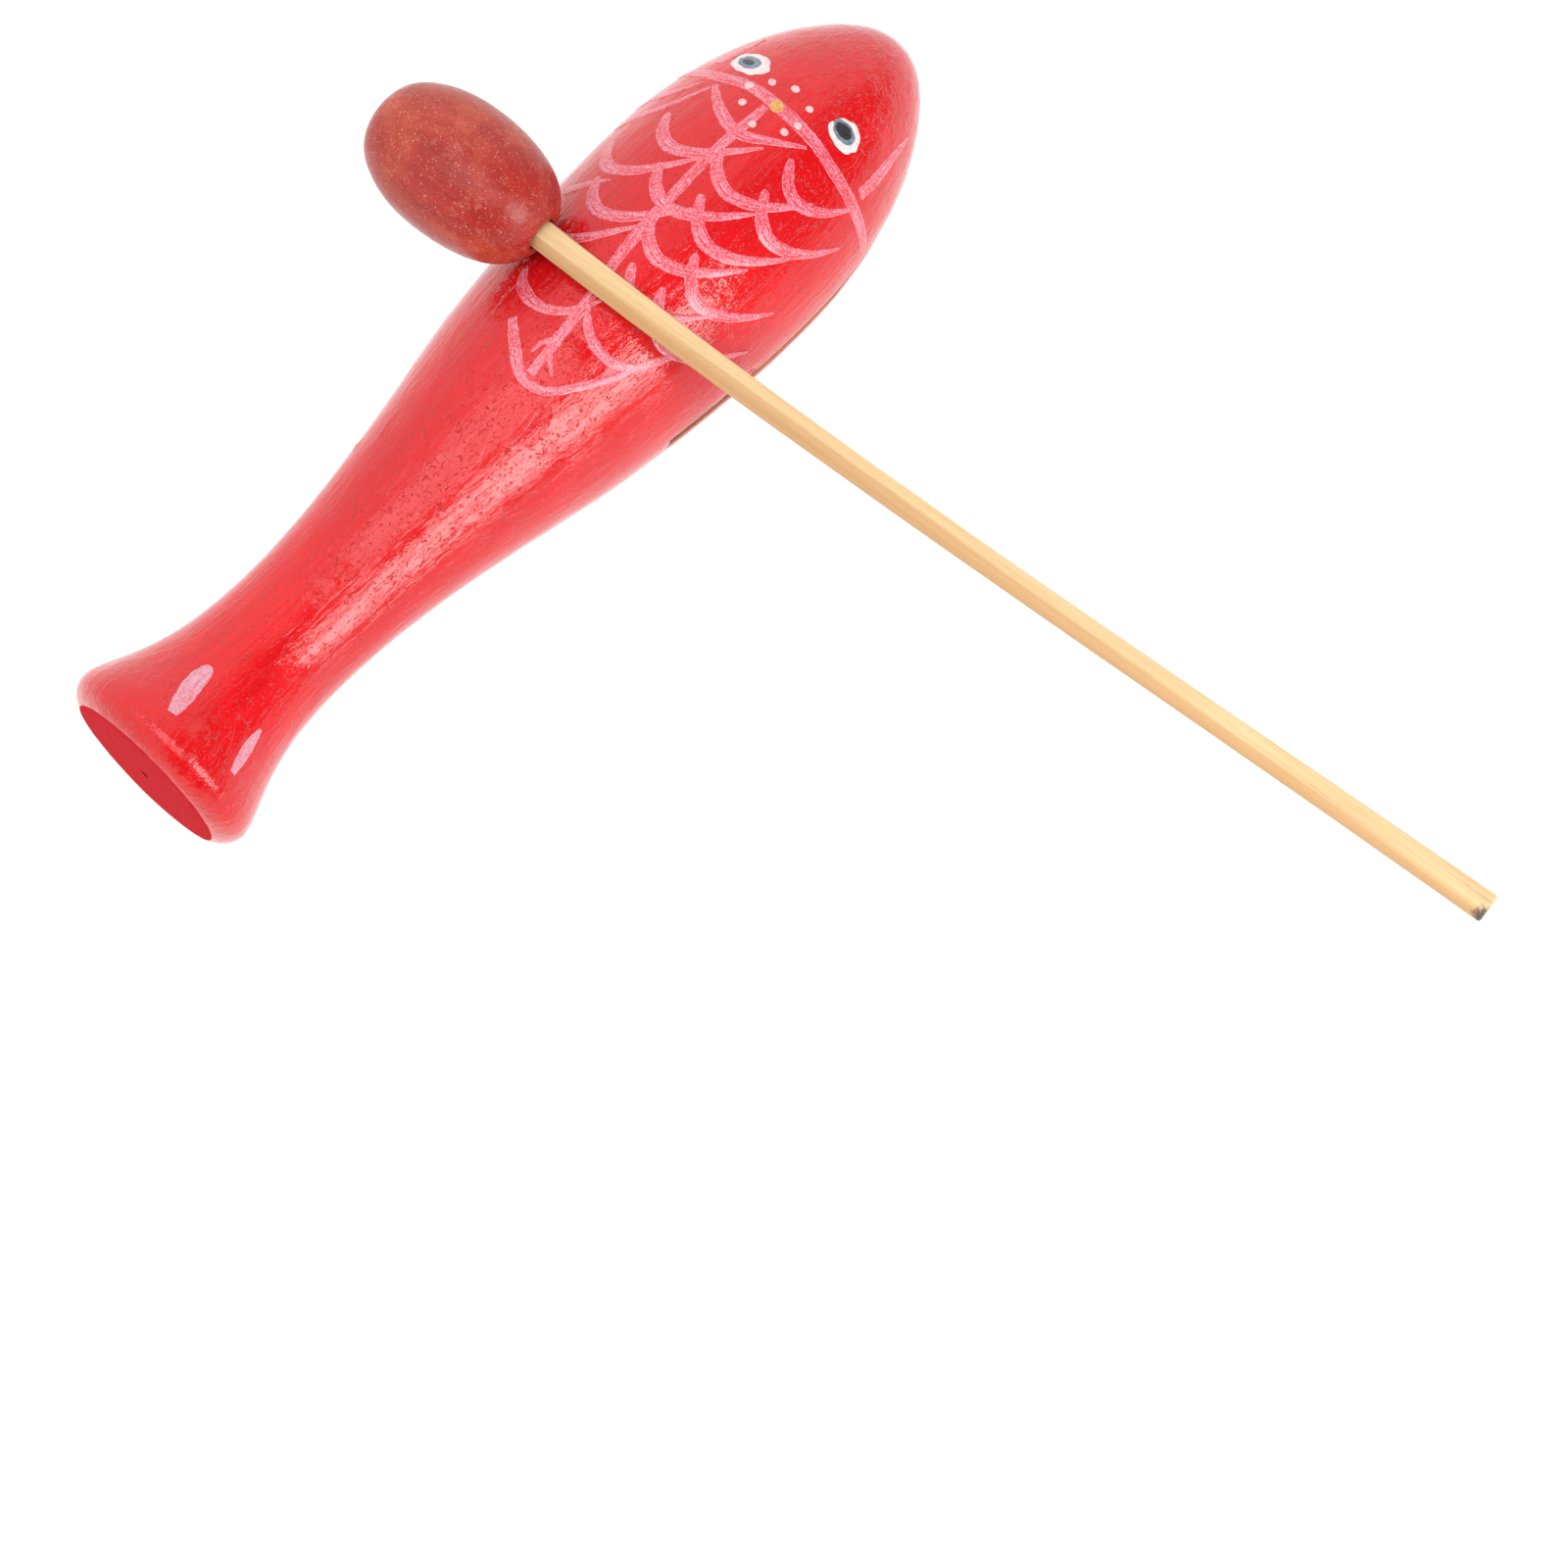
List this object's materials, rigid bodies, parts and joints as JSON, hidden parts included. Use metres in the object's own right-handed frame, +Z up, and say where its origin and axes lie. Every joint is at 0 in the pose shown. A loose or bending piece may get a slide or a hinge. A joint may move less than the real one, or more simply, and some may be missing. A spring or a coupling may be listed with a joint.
{
  "type": "fish wood block with mallet",
  "caption": "Turned fish-shaped wood block with a sound slot in its flank, and an egg-headed wooden mallet lying across its back.",
  "frame": {"origin": "on the resting plane, under the fullest part of the fish's belly, where the planed flat is", "axes": "+Z up, +Y from the fish's tail to its nose, +X to the flank with the sound slot, along which the mallet's stick lies"},
  "size_m": [0.3385, 0.2751, 0.0911],
  "materials": {
    "red_lacquered_wood": "gloss lacquer",
    "stained_wood": "satin stain",
    "bare_wood": "raw"
  },
  "bodies": {
    "block": {"fish_body": "red_lacquered_wood"},
    "mallet": {"mallet_head": "stained_wood", "mallet_stick": "bare_wood"}
  },
  "joints": [
    {"name": "mallet_lift", "type": "slide", "parent": "block", "child": "mallet", "axis": [0, 0, 1], "range_m": [0, 0.12]}
  ]
}
